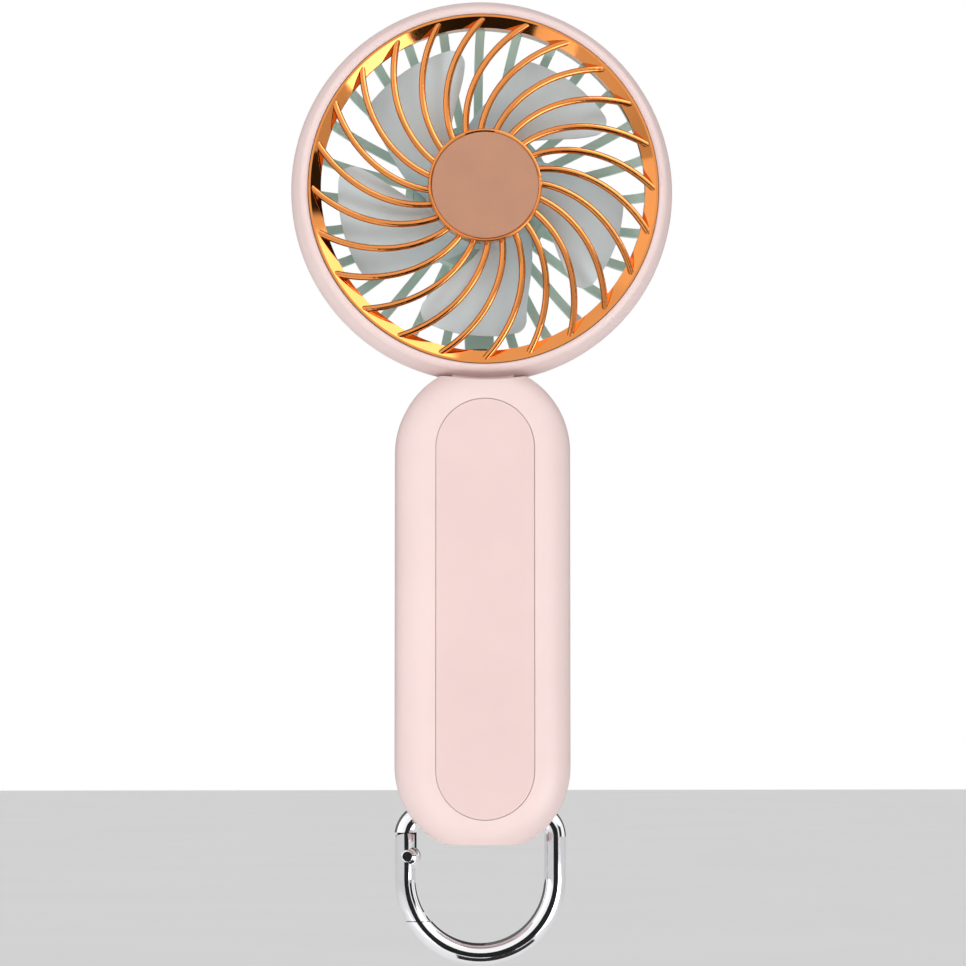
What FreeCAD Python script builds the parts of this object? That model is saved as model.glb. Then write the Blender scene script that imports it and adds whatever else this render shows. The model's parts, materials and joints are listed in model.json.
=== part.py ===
import FreeCAD, Part
import math
import os
import re
import PartDesign
import Sketcher
from FreeCAD import Placement, Rotation, Vector

# Handheld electric fan with a snap hook. Millimetres, +Z up. The fan blows towards -Y, which is its front.
# The origin is the centre of the flat bottom end of the handle.

SIZES = {
    # handle: a capsule seen from the front with large round edges, its foot flat and its top a saddle for the head
    "handle_radius": 19.77, "handle_depth": 24, "handle_edge": 7.8, "handle_low": 17.5, "handle_high": 88.9,
    "handle_top": 104.9, "handle_wall": 2, "end_edge": 0.7, "foot_round": 7.5, "saddle_gap": 0.15,
    # front panel let into the handle
    "panel_radius": 11.15, "panel_low": 16.8, "panel_high": 89.3, "panel_gap": 0.06, "panel_depth": 1.1,
    "panel_proud": 0.03, "panel_edge": 0.32,
    # case screws, under the panel
    "low_screw_across": 8.2, "low_screw_height": 15.5, "high_screw_across": 7.6, "high_screw_height": 94,
    "boss_radius": 2.2, "screw_radius": 0.9, "screw_head": 1.8, "screw_end": 6,
    # lug for the snap hook: the two lower back corners of the handle are cut away beside it
    "lug_half": 6, "lug_front": 3.8, "lug_top": 11.6, "bar_back": 7.5, "bar_height": 6.9, "bar_hole": 2.65,
    # head: a round ring in two halves that meet at the middle plane
    "head_radius": 43.7, "head_height": 148.8, "head_front": 7, "head_back": 7.5, "duct_radius": 38.4,
    "head_skin": 1.6, "seat_radius": 40.05, "seat_depth": 3.3, "rear_seat": 5.4, "rear_seat_radius": 39.8,
    "spigot_half": 7, "spigot_depth": 4, "spigot_end": 100.5,
    "lead_slot": 3.2,
    # front grille: outer ring, swept ribs and hub cap
    "grille_radius": 39.9, "grille_front": 6.6, "grille_lip": 39.4, "grille_inside": 37,
    "rib_outer": 39.2, "rib_inner": 12.2, "rib_sweep": 34.2, "rib_crest": 6.4, "rib_dome": 2.9,
    "rib_width": 1.5, "rib_height": 2.5, "rib_count": 24, "cap_radius": 12.9, "cap_front": 12,
    "cap_back": 7, "cap_wall": 1.2, "badge_radius": 12.15, "badge_thick": 0.8, "badge_recess": 1,
    # rear grille: a bowl of straight bars around the motor seat
    "bar_count": 28, "bar_width": 2, "strut_width": 6.6, "strut_thick": 3.2, "rim_inside": 38.5,
    "rim_radius": 39.6, "bowl_back": 17, "bowl_thick": 1.6, "bowl_turn": 27, "bowl_round": 15,
    "pot_radius": 17, "pot_wall": 1.6, "pot_front": 8.4, "post_circle": 11.5, "post_radius": 2.2,
    # impeller
    "hub_radius": 12.6, "hub_front": 4.8, "hub_back": 5.5, "hub_wall": 1.1, "blade_tip": 33,
    "blade_thick": 1.2, "blade_count": 5, "blade_rise": 4.4, "blade_corner": 3.2, "blade_middle": 0.6,
    "blade_sweep": 34, "blade_half": 29, "blade_turn": 94.6,
    # motor
    "shaft_radius": 0.75, "shaft_back": 12.5, "bell_wall": 0.8, "bell_back": 5.2, "magnet_thick": 1.1,
    "magnet_front": 1.6, "magnet_back": 4.6, "stator_radius": 9.2, "stator_front": 0.6,
    "stator_back": 3.6, "arm_width": 1.8, "arm_count": 6, "stator_ring": 4.4, "shoe_inner": 8.2,
    "coil_inner": 4.8, "coil_outer": 7.9, "coil_side": 1, "tube_radius": 3, "bearing_radius": 2.2,
    "bearing_bore": 0.85, "bearing_length": 2.5, "flange_thick": 1.2, "flange_radius": 15.3,
    "disc_board_radius": 10.4, "disc_board_thick": 0.8,
    # battery
    "cell_radius": 9.1, "cell_low": 20, "cell_high": 85, "cell_back": 0.6, "strap_thick": 0.3,
    # circuit boards and the charging socket
    "socket_width": 9, "socket_depth": 3.2, "socket_length": 7.3, "socket_back": 2.5, "socket_low": 0.4,
    "socket_skin": 0.4, "socket_gap": 0.15, "board_thick": 1, "charge_half": 5.6, "charge_top": 17, "switch_half": 5.2,
    "switch_low": 86.4, "switch_high": 100.2, "switch_back": 5.6,
    # power button and indicator on the back of the handle
    "button_height": 91.5, "button_radius": 4.2, "button_gap": 0.3, "button_proud": 0.6,
    "button_flange": 5, "light_height": 98.6, "light_radius": 0.9,
    "light_pitch": 3, "light_count": 4,
    # snap hook: round wire bent to a D, with a sprung gate on one side
    "hook_wire": 2.5, "hook_half": 17.15, "hook_corner": 5.5, "hook_low": -8.2, "gate_wire": 2.35,
    "gate_top": 2.4, "gate_end": -17.9, "gate_gap": 0.18, "pivot_across": -16.8, "pivot_height": -2.95,
    "pivot_radius": 1.45, "tongue_thick": 1.8, "tongue_width": 2.2, "cam_offset": 0.9, "slot_width": 2.3,
    "knuckle_radius": 2.75, "plunger_radius": 0.85, "spring_low": -11,
}

doc = FreeCAD.newDocument("handheld_fan")
sheet = doc.addObject("Spreadsheet::Sheet", "Dimensions")
for row, (alias, number) in enumerate(SIZES.items(), start=1):
    sheet.set("A%d" % row, alias)
    sheet.set("B%d" % row, str(number))
    sheet.setAlias("B%d" % row, alias)
doc.recompute()

subparts = []


# ---------------------------------------------------------------- tools

def bound(text):
    """Expression text with every alias read from the sheet."""
    return re.sub(r"[a-z_]+", lambda word: "Dimensions." * (word.group() in SIZES) + word.group(), text)


def size(text):
    """Number that an expression of the sheet's aliases gives."""
    return float(sheet.evalExpression(bound(text)))


def keep(item, label):
    """Name a sub-part and put it on the list of what is written."""
    item.Label = label
    subparts.append(item)
    return item


def body_at(name, height="0"):
    """PartDesign body whose own origin is at a height on the Z axis."""
    body = doc.addObject("PartDesign::Body", name)
    if height != "0":
        body.setExpression(".Placement.Base.z", bound(height))
    return body


def sketch_on(body, role, offset="0"):
    """Sketch on an origin plane of its own body, moved along the plane's normal."""
    sketch = body.newObject("Sketcher::SketchObject", body.Name + "_sketch")
    plane = next(item for item in body.Origin.OriginFeatures if item.Role == role)
    sketch.AttachmentSupport = [(plane, "")]
    sketch.MapMode = "FlatFace"
    if offset != "0":
        sketch.setExpression(".AttachmentOffset.Base.z", bound(offset))
    return sketch


def limit(sketch, kind, text, *where):
    """Dimension in a sketch, tied to the sheet."""
    index = sketch.addConstraint(Sketcher.Constraint(kind, *where, size(text)))
    sketch.renameConstraint(index, "size_%d" % index)
    sketch.setExpression("Constraints.size_%d" % index, bound(text))


def arc_middle(start, end, radius):
    """Middle of the shorter arc between two points; a positive radius turns left, a negative one right."""
    chord = end - start
    rise = abs(radius) - math.sqrt(max(0, radius * radius - chord.Length ** 2 / 4))
    side = Vector(chord.y, -chord.x, 0).normalize()
    return (start + end) * 0.5 + side * math.copysign(rise, radius)


def outline(sketch, points):
    """Closed outline: each point is (x, y) or, where an arc leads on to the next one, (x, y, radius)."""
    first = sketch.GeometryCount
    places = [Vector(size(point[0]), size(point[1]), 0) for point in points]
    ends = []
    for index, point in enumerate(points):
        start = places[index]
        end = places[(index + 1) % len(points)]
        if len(point) == 2:
            sketch.addGeometry(Part.LineSegment(start, end), False)
            ends.append((1, 2))
            continue
        radius = size(point[2])
        middle = arc_middle(start, end, radius)
        if radius > 0:
            sketch.addGeometry(Part.Arc(start, middle, end), False)
            ends.append((1, 2))
        else:
            sketch.addGeometry(Part.Arc(end, middle, start), False)
            ends.append((2, 1))
    for index, point in enumerate(points):
        following = (index + 1) % len(points)
        sketch.addConstraint(Sketcher.Constraint(
            "Coincident", first + index, ends[index][1], first + following, ends[following][0]))
        limit(sketch, "DistanceX", point[0], -1, 1, first + index, ends[index][0])
        limit(sketch, "DistanceY", point[1], -1, 1, first + index, ends[index][0])
        if len(point) == 3:
            limit(sketch, "Radius", "abs(%s)" % point[2], first + index)
    return sketch


def circle(sketch, across, height, radius):
    """Circle in a sketch."""
    index = sketch.addGeometry(Part.Circle(Vector(size(across), size(height), 0), Vector(0, 0, 1), size(radius)))
    limit(sketch, "DistanceX", across, -1, 1, index, 3)
    limit(sketch, "DistanceY", height, -1, 1, index, 3)
    limit(sketch, "Radius", radius, index)
    return sketch


def stadium(sketch, radius, low, high):
    """Upright stadium from two half circles, drawn as quarter circles."""
    return outline(sketch, [
        (radius, low), (radius, high, radius), ("0", "%s+%s" % (high, radius), radius),
        ("-(%s)" % radius, high), ("-(%s)" % radius, low, radius), ("0", "%s-(%s)" % (low, radius), radius)])


def flat_stadium(sketch, across, height, half, radius):
    """Level stadium with its centre at (across, height)."""
    left = "%s-(%s)+%s" % (across, half, radius)
    right = "%s+%s-(%s)" % (across, half, radius)
    low = "%s-(%s)" % (height, radius)
    high = "%s+%s" % (height, radius)
    return outline(sketch, [
        (left, low), (right, low, radius), ("%s+%s" % (across, half), height, radius), (right, high),
        (left, high, radius), ("%s-(%s)" % (across, half), height, radius)])


def rectangle(sketch, left, right, low, high):
    """Rectangle in a sketch."""
    return outline(sketch, [(left, low), (right, low), (right, high), (left, high)])


def feature(body, kind, sketch):
    """Feature of a body that is made from a sketch."""
    item = body.newObject("PartDesign::" + kind, body.Name + "_" + kind.lower())
    item.Profile = sketch
    return item


def turned(body, points, kind="Revolution"):
    """Ring around the body's own Y axis: each point is (place along the axis, radius)."""
    item = feature(body, kind, outline(sketch_on(body, "YZ_Plane"), points))
    item.ReferenceAxis = (item.Profile[0], ["H_Axis"])
    item.Angle = 360
    doc.recompute()
    return item


def washer(body, front, back, inner, outer, kind="Revolution"):
    """Plain ring or disc around the body's own Y axis."""
    return turned(body, [(front, inner), (back, inner), (back, outer), (front, outer)], kind)


def slab(body, draw, front, back, kind="Pad"):
    """Pad, or pocket, of a front-view outline from one depth to another."""
    item = feature(body, kind, draw(sketch_on(body, "XZ_Plane", "-(%s)" % back)))
    item.setExpression("Length", bound("(%s)-(%s)" % (back, front)))
    item.Reversed = kind == "Pocket"
    doc.recompute()
    return item


def upright(body, draw, low, high, kind="Pad"):
    """Pad, or pocket, of a plan-view outline from one height to another."""
    item = feature(body, kind, draw(sketch_on(body, "XY_Plane", low)))
    item.setExpression("Length", bound("(%s)-(%s)" % (high, low)))
    item.Reversed = kind == "Pocket"
    doc.recompute()
    return item


def around(body, originals, count):
    """Copies of features around the body's own Y axis; they become the body's tip."""
    item = body.newObject("PartDesign::PolarPattern", body.Name + "_pattern")
    item.Originals = originals
    axis = next(line for line in body.Origin.OriginFeatures if line.Role == "Y_Axis")
    item.Axis = (axis, [""])
    item.Angle = 360
    item.setExpression("Occurrences", bound(count))
    body.Tip = item
    doc.recompute()
    return item


def rounded(body, base, radius, chosen):
    """Fillet on the edges of a feature that pass a test."""
    names = ["Edge%d" % (index + 1) for index, edge in enumerate(base.Shape.Edges) if chosen(edge)]
    item = body.newObject("PartDesign::Fillet", body.Name + "_fillet")
    item.Base = (base, names)
    item.setExpression("Radius", bound(radius))
    doc.recompute()
    return item


def block(name, x_range, y_range, z_range):
    """Part box between named limits."""
    box = doc.addObject("Part::Box", name)
    for axis, side, (low, high) in zip("xyz", ("Length", "Width", "Height"), (x_range, y_range, z_range)):
        box.setExpression(side, bound("(%s)-(%s)" % (high, low)))
        box.setExpression(".Placement.Base." + axis, bound(low))
    return box


def rod(name, across, height, radius, front, back):
    """Part cylinder along +Y."""
    bar = doc.addObject("Part::Cylinder", name)
    bar.setExpression("Radius", bound(radius))
    bar.setExpression("Height", bound("(%s)-(%s)" % (back, front)))
    bar.Placement = Placement(Vector(0, 0, 0), Rotation(Vector(1, 0, 0), -90))
    bar.setExpression(".Placement.Base.x", bound(across))
    bar.setExpression(".Placement.Base.y", bound(front))
    bar.setExpression(".Placement.Base.z", bound(height))
    return bar


def cut(name, base, tool):
    """One shape less another."""
    item = doc.addObject("Part::Cut", name)
    item.Base = base
    item.Tool = tool
    return item


def common(name, base, tool):
    """What two shapes share."""
    item = doc.addObject("Part::Common", name)
    item.Base = base
    item.Tool = tool
    return item


def joined(name, pieces):
    """Several shapes made one."""
    item = doc.addObject("Part::MultiFuse", name)
    item.Shapes = pieces
    return item


def group(name, pieces):
    """Several loose pieces kept in one sub-part."""
    item = doc.addObject("Part::Compound", name)
    item.Links = pieces
    return item


def shaped(label, shape, height=0):
    """Sub-part whose shape is made with Part's own functions, raised to a height."""
    item = doc.addObject("Part::Feature", label)
    item.Shape = shape
    item.Placement = Placement(Vector(0, 0, height), Rotation()).multiply(shape.Placement)
    return keep(item, label)


# ---------------------------------------------------------------- handle

def capsule(name, inset):
    """The handle's outer form before its ends are cut, or the same form drawn in by a wall."""
    body = body_at(name)
    solid = slab(body, lambda sketch: stadium(sketch, "handle_radius-%s" % inset, "handle_low", "handle_high"),
                 "%s-handle_depth/2" % inset, "handle_depth/2-%s" % inset)
    rounded(body, solid, "handle_edge-%s" % inset,
            lambda edge: abs(abs(edge.CenterOfMass.y) - size("handle_depth/2-%s" % inset)) < 0.01)
    return body


def foot_outline(sketch):
    """What is cut away below the handle: a flat that runs out through the capsule's sides along two arcs."""
    drop, turn = size("handle_low-foot_round"), size("foot_round")
    across = math.sqrt(size("handle_radius-foot_round") ** 2 - drop ** 2) + 0.15
    share = turn / math.hypot(across, drop)
    flat, wide, rise = str(across), str(across * (1 + share)), str(turn - drop * share)
    return outline(sketch, [
        ("-30", "-5"), ("30", "-5"), ("30", rise), (wide, rise, "-foot_round"), (flat, "0"),
        ("-" + flat, "0", "-foot_round"), ("-" + wide, rise), ("-30", rise)])


def on_end(edge):
    """Whether an edge lies on the handle's flat foot or on the saddle at its top."""
    reach = size("head_radius+saddle_gap")
    heights = [math.hypot(corner.X, corner.Z - size("head_height")) - reach for corner in edge.Vertexes]
    return abs(edge.CenterOfMass.z) < 0.01 or all(abs(height) < 0.001 for height in heights)


def screw_places():
    """Name, place across and height of the four case screws."""
    for level in ("low", "high"):
        for side, sign in (("left", "-"), ("right", "")):
            yield "%s_%s" % (level, side), "%s%s_screw_across" % (sign, level), "%s_screw_height" % level


def handle_shells():
    """Front and rear shells of the handle, with bosses, lug, openings and the seat of the panel."""
    wide = ("-30", "30")
    outer = capsule("handle_outside", "0")
    slab(outer, foot_outline, "-handle_depth", "handle_depth", "Pocket")
    slab(outer, lambda sketch: circle(sketch, "0", "head_height", "head_radius+saddle_gap"),
         "-handle_depth", "handle_depth", "Pocket")
    rounded(outer, outer.Tip, "end_edge", on_end)
    hollow = capsule("handle_inside", "handle_wall")
    for low, high in (("-1", "handle_wall"), ("handle_top-handle_wall", "handle_high+handle_radius")):
        upright(hollow, lambda sketch: rectangle(sketch, "-handle_radius", "handle_radius", "-handle_depth",
                                                 "handle_depth"), low, high, "Pocket")
    room = cut("handle_cavity", hollow,
               block("lug_block", wide, ("lug_front-handle_wall", "30"), ("0", "lug_top+handle_wall")))
    skin = cut("handle_skin", outer, room)
    front = common("front_skin", skin, block("front_side", wide, ("-30", "0"), ("-1", "handle_top+1")))
    rear = common("rear_skin", skin, block("rear_side", wide, ("0", "30"), ("-1", "handle_top+1")))

    recess = body_at("panel_recess")
    slab(recess, lambda sketch: stadium(sketch, "panel_radius+panel_gap", "panel_low", "panel_high"),
         "-handle_depth", "panel_depth-handle_depth/2")
    mouth = body_at("socket_mouth")
    upright(mouth, lambda sketch: flat_stadium(
        sketch, "0", "-socket_back", "socket_width/2+socket_gap", "socket_depth/2+socket_gap"),
        "-1", "handle_wall+1")
    neck_hole = block("neck_hole", ("-spigot_half-0.1", "spigot_half+0.1"), ("-spigot_depth-0.1", "spigot_depth+0.1"),
                      ("handle_top-handle_wall-1", "handle_top+1"))

    floor = "panel_depth-handle_depth/2"
    front_bosses = []
    front_holes = [recess, mouth, neck_hole]
    rear_bosses = []
    rear_holes = [neck_hole]
    for place, across, height in screw_places():
        front_bosses.append(rod("front_boss_" + place, across, height, "boss_radius", floor, "0"))
        front_holes.append(rod("screw_way_" + place, across, height, "screw_radius+0.2", "-handle_depth", "1"))
        front_holes.append(rod("head_seat_" + place, across, height, "screw_head+0.2", "-handle_depth",
                               floor + "+1.6"))
        rear_bosses.append(rod("rear_boss_" + place, across, height, "boss_radius", "0", "handle_depth/2-1"))
        rear_holes.append(rod("thread_" + place, across, height, "screw_radius", "-1", "screw_end"))

    posts = [rod("board_post_" + side, across, "switch_low+1.2", "0.8", "switch_back", "handle_depth/2-1")
             for side, across in (("left", "0.8-switch_half"), ("right", "switch_half-0.8"))]
    for side, limits in (("left", ("-30", "-lug_half")), ("right", ("lug_half", "30"))):
        rear_holes.append(block("lug_corner_" + side, limits, ("lug_front", "30"), ("-1", "lug_top")))
    bar_hole = doc.addObject("Part::Cylinder", "bar_hole_tool")
    bar_hole.setExpression("Radius", bound("bar_hole"))
    bar_hole.Height = 60
    bar_hole.Placement = Placement(Vector(-30, 0, 0), Rotation(Vector(0, 1, 0), 90))
    bar_hole.setExpression(".Placement.Base.y", bound("bar_back"))
    bar_hole.setExpression(".Placement.Base.z", bound("bar_height"))
    rear_holes.append(bar_hole)
    rear_holes.append(rod("button_hole", "0", "button_height", "button_radius+button_gap", "5", "30"))
    for index in range(int(size("light_count"))):
        rear_holes.append(rod("light_hole_%d" % index, light_place(index), "light_height",
                              "light_radius+0.05", "5", "30"))

    keep(cut("handle_front_shell", joined("front_solid", [front] + front_bosses),
             joined("front_openings", front_holes)), "handle_front_shell")
    keep(cut("handle_rear_shell", joined("rear_solid", [rear] + rear_bosses + posts),
             joined("rear_openings", rear_holes)), "handle_rear_shell")


def light_place(index):
    """Place across of one of the row of indicator lights."""
    return "(%d-(light_count-1)/2)*light_pitch" % index


def front_panel():
    """Flat inlay of the handle's front, with a fine groove around it."""
    body = body_at("front_panel")
    front = "-handle_depth/2-panel_proud"
    plate = slab(body, lambda sketch: stadium(sketch, "panel_radius", "panel_low", "panel_high"),
                 front, "panel_depth-handle_depth/2")
    rounded(body, plate, "panel_edge", lambda edge: abs(edge.CenterOfMass.y - size(front)) < 0.01)
    keep(body, "front_panel")


def case_screws():
    """Four self-tapping screws that draw the shells together."""
    seat = "panel_depth-handle_depth/2+1.6"
    screws = []
    for place, across, height in screw_places():
        head = rod("screw_head_" + place, across, height, "screw_head", seat + "-1.3", seat)
        drive = rod("screw_drive_" + place, across, height, "0.8", seat + "-1.4", seat + "-0.6")
        shank = rod("screw_shank_" + place, across, height, "screw_radius", seat + "-0.3", "screw_end-0.5")
        screws.append(cut("case_screw_" + place, joined("screw_blank_" + place, [head, shank]), drive))
    keep(group("case_screws", screws), "case_screws")


# ---------------------------------------------------------------- battery, boards, button

def battery():
    """Round lithium cell with its end straps and the foam that holds it."""
    cell = body_at("battery_cell")
    upright(cell, lambda sketch: circle(sketch, "0", "cell_back", "cell_radius"), "cell_low", "cell_high")
    rounded(cell, cell.Tip, "0.5", lambda edge: len(edge.Vertexes) == 1)
    keep(cell, "battery_cell")
    deep = ("cell_back-4", "cell_back+4")
    straps = [block("low_strap", ("-3", "3"), deep, ("cell_low-strap_thick", "cell_low")),
              block("high_strap", ("-3", "3"), deep, ("cell_high", "cell_high+strap_thick"))]
    keep(group("battery_contacts", straps), "battery_contacts")
    foam = [block("foam_%d" % index, ("-5", "5"), ("handle_wall-handle_depth/2", "cell_back-cell_radius"),
                  (low, low + "+14")) for index, low in enumerate(("cell_low+6", "cell_high-20"))]
    keep(group("battery_foam", foam), "battery_foam")


def charging():
    """Charging board and its socket, whose mouth is in the bottom end of the handle."""
    board = body_at("charge_board")
    face = "socket_depth/2-socket_back"
    slab(board, lambda sketch: rectangle(sketch, "-charge_half", "charge_half", "handle_wall+0.2", "charge_top"),
         face, face + "+board_thick")
    slab(board, lambda sketch: rectangle(sketch, "-3.4", "-0.6", "charge_top-6", "charge_top-2.6"), face + "-1", face)
    slab(board, lambda sketch: rectangle(sketch, "1.2", "3.8", "charge_top-6.4", "charge_top-2"), face + "-1.6", face)
    keep(board, "charge_board")

    socket = body_at("usb_socket")
    top = "socket_low+socket_length"
    upright(socket, lambda sketch: flat_stadium(
        sketch, "0", "-socket_back", "socket_width/2", "socket_depth/2"), "socket_low", top)
    upright(socket, lambda sketch: flat_stadium(
        sketch, "0", "-socket_back", "socket_width/2-socket_skin", "socket_depth/2-socket_skin"),
        "socket_low", top + "-1", "Pocket")
    upright(socket, lambda sketch: rectangle(
        sketch, "-3.3", "3.3", "-socket_back-0.35", "0.35-socket_back"), "socket_low+0.8", top + "-0.5")
    keep(socket, "usb_socket")


def controls():
    """Board, switch, button and lights behind the back of the handle."""
    back = "handle_depth/2"
    board = body_at("switch_board")
    slab(board, lambda sketch: rectangle(sketch, "-switch_half", "switch_half", "switch_low", "switch_high"),
         "switch_back-board_thick", "switch_back")
    slab(board, lambda sketch: rectangle(sketch, "-2.5", "2.5", "button_height-2.5", "button_height+2.5"),
         "switch_back-board_thick-1.2", "switch_back-board_thick")
    keep(board, "switch_board")

    switch = body_at("tact_switch")
    slab(switch, lambda sketch: rectangle(sketch, "-2.25", "2.25", "button_height-2.25", "button_height+2.25"),
         "switch_back", "switch_back+2")
    slab(switch, lambda sketch: circle(sketch, "0", "button_height", "1.35"), "switch_back+0.15", "switch_back+2",
         "Pocket")
    keep(switch, "tact_switch")
    stem = body_at("switch_stem")
    slab(stem, lambda sketch: circle(sketch, "0", "button_height", "1.1"), "switch_back+0.8", "switch_back+2.8")
    keep(stem, "switch_stem")

    button = body_at("power_button")
    slab(button, lambda sketch: circle(sketch, "0", "button_height", "button_radius"), back + "-2.4",
         back + "+button_proud")
    crown = rounded(button, button.Tip, "0.5", lambda edge: edge.CenterOfMass.y > size(back))
    slab(button, lambda sketch: circle(sketch, "0", "button_height", "button_flange"), back + "-3", back + "-2.2")
    slab(button, lambda sketch: circle(sketch, "0", "button_height", "1.1"), "switch_back+2.8", back + "-3")
    keep(button, "power_button")

    lens = body_at("indicator_lens")
    last = int(size("light_count")) - 1
    slab(lens, lambda sketch: rectangle(sketch, light_place(0) + "-1", light_place(last) + "+1",
                                        "light_height-1", "light_height+1"), back + "-handle_wall-0.8",
         back + "-handle_wall")
    for index in range(last + 1):
        slab(lens, lambda sketch: circle(sketch, light_place(index), "light_height", "light_radius"),
             back + "-handle_wall-0.4", back)
    keep(lens, "indicator_lens")
    lights = [block("light_%d" % index, (light_place(index) + "-0.8", light_place(index) + "+0.8"),
                    ("switch_back", "switch_back+0.8"), ("light_height-0.4", "light_height+0.4"))
              for index in range(last + 1)]
    keep(group("indicator_leds", lights), "indicator_leds")


# ---------------------------------------------------------------- head

def head_rings():
    """Hollow front and rear halves of the head, each with its half of the neck."""
    front = body_at("head_front_ring", "head_height")
    turned(front, [
        ("0", "head_radius", "12.5"), ("0.9-head_front", "head_radius-1.75", "1.7"),
        ("-head_front", "seat_radius+0.75", "0.9"), ("0.55-head_front", "seat_radius"),
        ("-seat_depth", "seat_radius"), ("-seat_depth", "duct_radius"), ("0", "duct_radius"),
        ("0", "duct_radius+head_skin"), ("head_skin-seat_depth", "duct_radius+head_skin"),
        ("head_skin-seat_depth", "head_radius-head_skin-0.4"), ("0", "head_radius-head_skin")])
    neck_half_of(front, "-spigot_depth", "0")
    keep(front, "head_front_ring")

    rear = body_at("head_rear_ring", "head_height")
    turned(rear, [
        ("0", "duct_radius"), ("rear_seat", "duct_radius"), ("rear_seat", "rear_seat_radius"),
        ("head_back", "rear_seat_radius"), ("head_back", "rear_seat_radius+0.5", "2.6"),
        ("head_back-2", "head_radius-0.9", "16"), ("0", "head_radius"), ("0", "head_radius-head_skin"),
        ("rear_seat-head_skin", "head_radius-head_skin-0.5"), ("rear_seat-head_skin", "duct_radius+head_skin"),
        ("0", "duct_radius+head_skin")])
    neck_half_of(rear, "0", "spigot_depth")
    slab(rear, lambda sketch: rectangle(sketch, "-lead_slot/2", "lead_slot/2", "spigot_end-head_height-1",
                                        "0.2-duct_radius"), "-1", "rear_seat+0.1", "Pocket")
    keep(rear, "head_rear_ring")


def neck_half_of(body, spigot_front, spigot_back):
    """Half of the neck: a spigot from the ring into the handle, and the flange on it that the shells clamp."""
    slab(body, lambda sketch: rectangle(sketch, "-spigot_half", "spigot_half", "spigot_end-head_height",
                                        "1.4-head_radius"), spigot_front, spigot_back)
    flange_front = spigot_front if spigot_front == "0" else spigot_front + "-0.6"
    flange_back = spigot_back if spigot_back == "0" else spigot_back + "+0.6"
    slab(body, lambda sketch: rectangle(sketch, "-spigot_half-2", "spigot_half+2", "spigot_end-head_height",
                                        "handle_top-handle_wall-head_height-0.1"), flange_front, flange_back)


def rib_point(radius):
    """Point of the first rib's crest: it sweeps round as it runs out, under a shallow dome."""
    run = (radius - size("rib_inner")) / (size("rib_outer") - size("rib_inner"))
    angle = -math.radians(size("rib_sweep")) * run ** 1.1
    crest = size("rib_crest") + size("rib_dome") * (1 - run * run)
    return Vector(radius * math.cos(angle), -crest, radius * math.sin(angle))


def rib():
    """Swept rib with a rounded crest, deepest towards the back."""
    steps = 6
    inner = size("rib_inner")
    reach = size("rib_outer") - inner
    path = Part.BSplineCurve()
    path.interpolate([rib_point(inner + reach * step / steps) for step in range(steps + 1)])
    half = size("rib_width") / 2
    deep = size("rib_height")
    side = [Vector(0, deep, -half * 0.7), Vector(0, half, -half)]
    crown = Part.Arc(side[1], Vector(0, 0, 0), Vector(0, half, half))
    section = Part.Wire([
        Part.LineSegment(side[0], side[1]).toShape(), crown.toShape(),
        Part.LineSegment(Vector(0, half, half), Vector(0, deep, half * 0.7)).toShape(),
        Part.LineSegment(Vector(0, deep, half * 0.7), side[0]).toShape()])
    start, heading = path.value(path.FirstParameter), path.tangent(path.FirstParameter)[0]
    turn = math.degrees(math.atan2(-heading.z, heading.x))
    section.Placement = Placement(start, Rotation(Vector(0, 1, 0), turn))
    sweep = Part.BRepOffsetAPI.MakePipeShell(Part.Wire(path.toShape()))
    sweep.setBiNormalMode(Vector(0, 1, 0))
    sweep.add(section)
    sweep.build()
    sweep.makeSolid()
    return sweep.shape()


def front_grille():
    """Plated guard: conical ring, swept ribs and the cup that carries the badge."""
    frame = body_at("grille_frame")
    turned(frame, [
        ("-grille_front", "grille_radius"), ("-grille_front", "grille_lip"),
        ("1.4-grille_front", "grille_inside"), ("-seat_depth", "grille_inside"), ("-seat_depth", "grille_radius")])
    cup = body_at("grille_cup")
    turned(cup, [
        ("-cap_back", "cap_radius-cap_wall"), ("badge_recess+1.2-cap_front", "cap_radius-cap_wall"),
        ("badge_recess+1.2-cap_front", "0"), ("badge_recess-cap_front", "0"),
        ("badge_recess-cap_front", "badge_radius+0.03"), ("0.25-cap_front", "badge_radius+0.03"),
        ("-cap_front", "badge_radius+0.28"), ("-cap_front", "cap_radius-0.35", "-0.35"), ("0.35-cap_front", "cap_radius"), ("-cap_back", "cap_radius")])
    first = rib()
    count = int(size("rib_count"))
    ribs = []
    for index in range(count):
        copy = first.copy()
        copy.rotate(Vector(0, 0, 0), Vector(0, 1, 0), 360 * index / count - size("rib_sweep"))
        ribs.append(copy)
    shape = frame.Shape.fuse([cup.Shape] + ribs)
    shaped("front_grille", shape, size("head_height"))

    badge = body_at("hub_badge", "head_height")
    disc = washer(badge, "badge_recess-cap_front-badge_thick", "badge_recess-cap_front", "0", "badge_radius")
    front = size("badge_recess-cap_front-badge_thick")
    rounded(badge, disc, "0.15", lambda edge: edge.Curve.TypeId == "Part::GeomCircle"
            and abs(edge.CenterOfMass.y - front) < 0.01)
    keep(badge, "hub_badge")


def bowl_outline(sketch, inset, thick, end):
    """Side view of one bar of the rear bowl, from its rim in to the motor seat, or of the channel in it."""
    turn = "bowl_back-1.4-%s" % inset
    back = "bowl_back-%s" % inset
    rim = "head_back-0.1-%s" % inset
    return outline(sketch, [
        (rim, "0.9-rim_radius", "bowl_round"), (turn, "-bowl_turn", "bowl_turn"), (back, end),
        ("%s-(%s)" % (back, thick), end, "-bowl_turn"),
        ("%s-(%s)" % (turn, thick), "0.4-bowl_turn", "-bowl_round"), ("%s-1.7" % rim, "1.6-rim_radius"),
        ("%s-1.7" % rim, "0.9-rim_radius")])


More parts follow.
